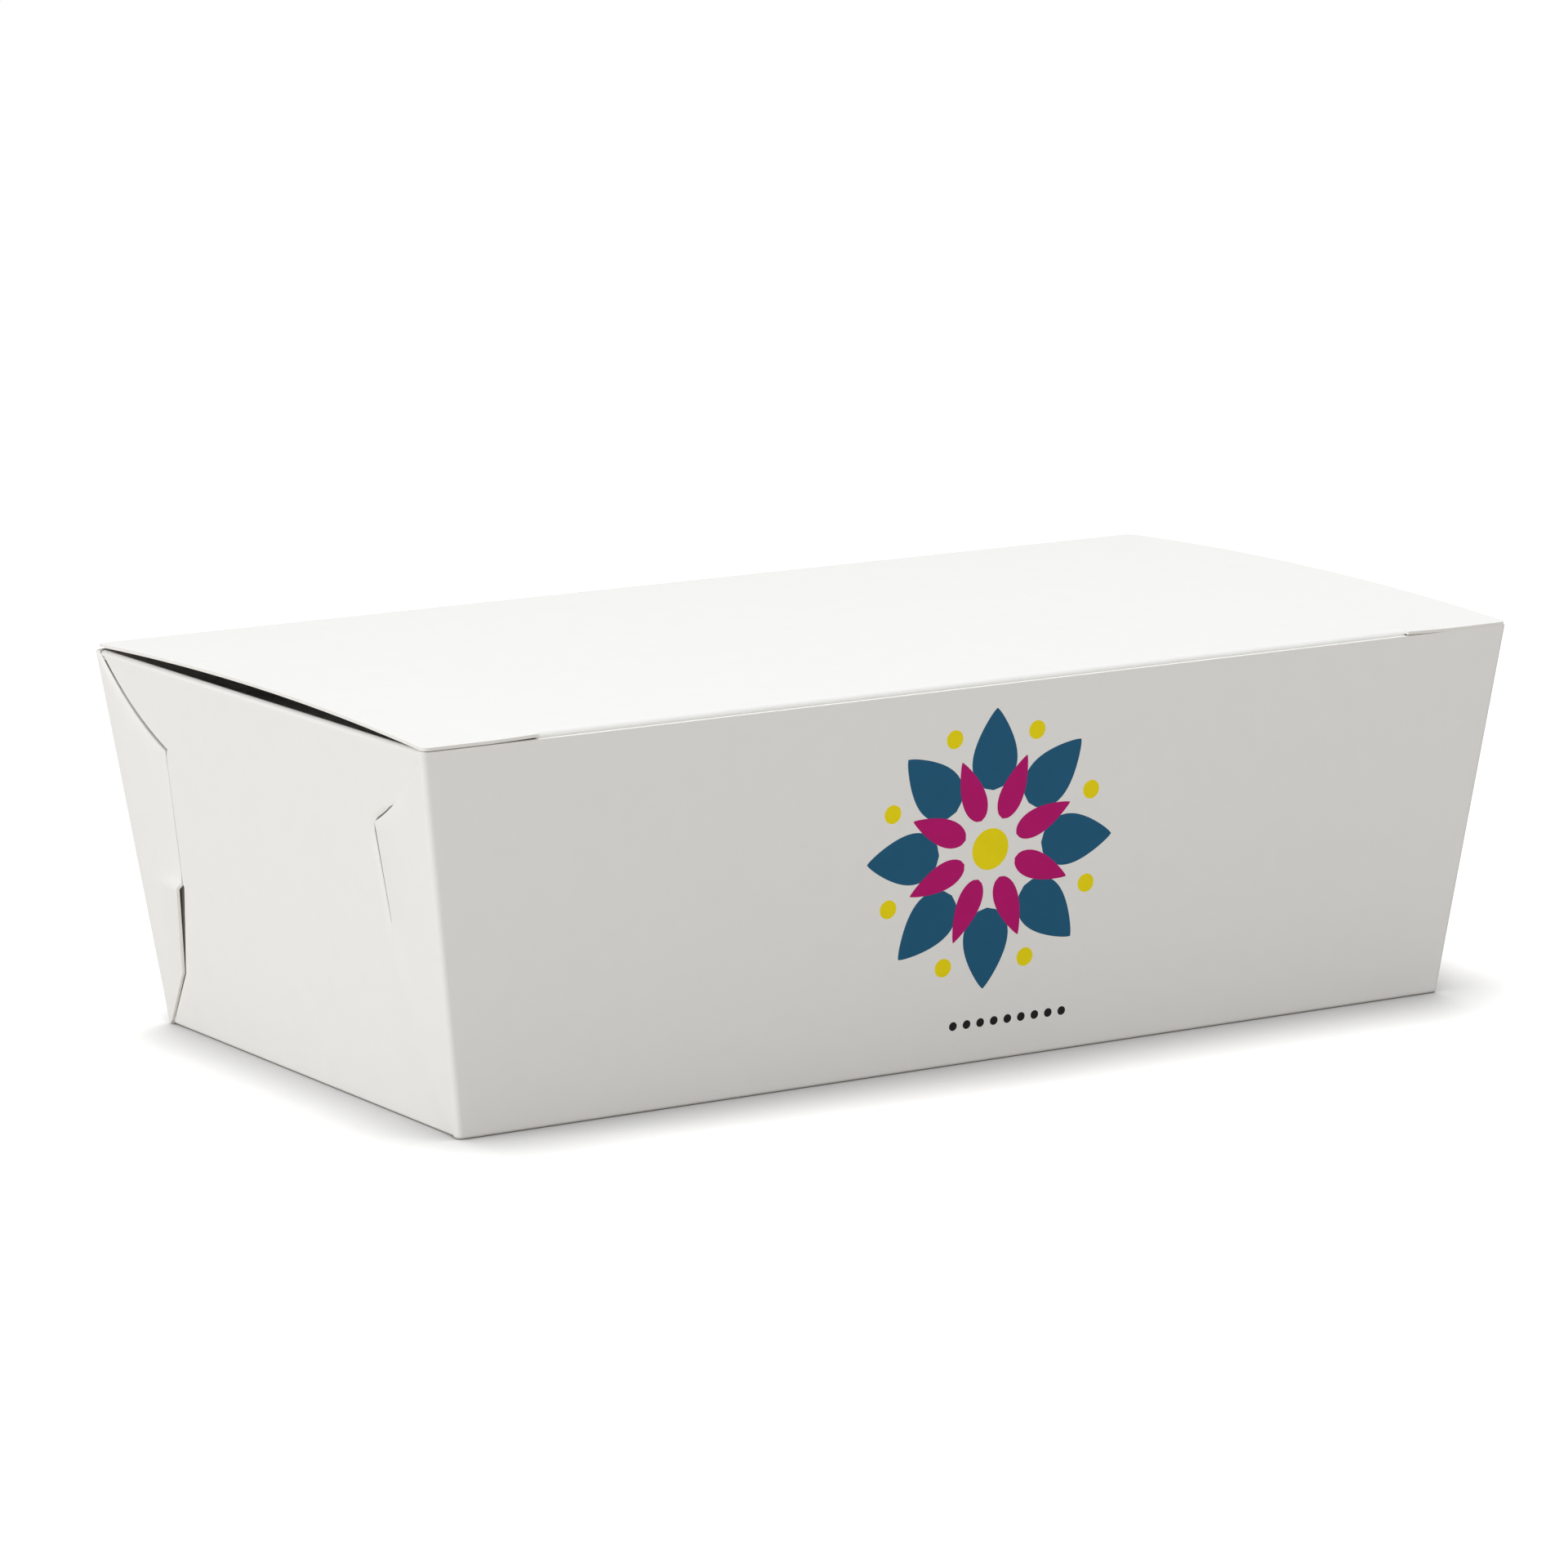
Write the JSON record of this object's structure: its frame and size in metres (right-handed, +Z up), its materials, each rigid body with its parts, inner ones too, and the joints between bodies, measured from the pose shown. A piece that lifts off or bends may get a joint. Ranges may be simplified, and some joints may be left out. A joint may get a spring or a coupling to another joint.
{
  "type": "snack box",
  "caption": "Folded white board take-away box with leaning walls, glued corner flaps and a hinged lid that tucks in behind the front wall.",
  "frame": {"origin": "centre of the base's underside, on the surface the box stands on", "axes": "+X along the box's length, -Y towards the front wall, +Z up"},
  "size_m": [0.1728, 0.0925, 0.0544],
  "materials": {
    "white_board": "matte"
  },
  "bodies": {
    "tray": {"tray": "white_board"},
    "lid": {"lid": "white_board"}
  },
  "joints": [
    {"name": "lid_hinge", "type": "hinge", "parent": "tray", "child": "lid", "pos_m": [0, 0.04625, 0.053], "axis": [-1, 0, 0], "range_deg": [0, 180]}
  ]
}
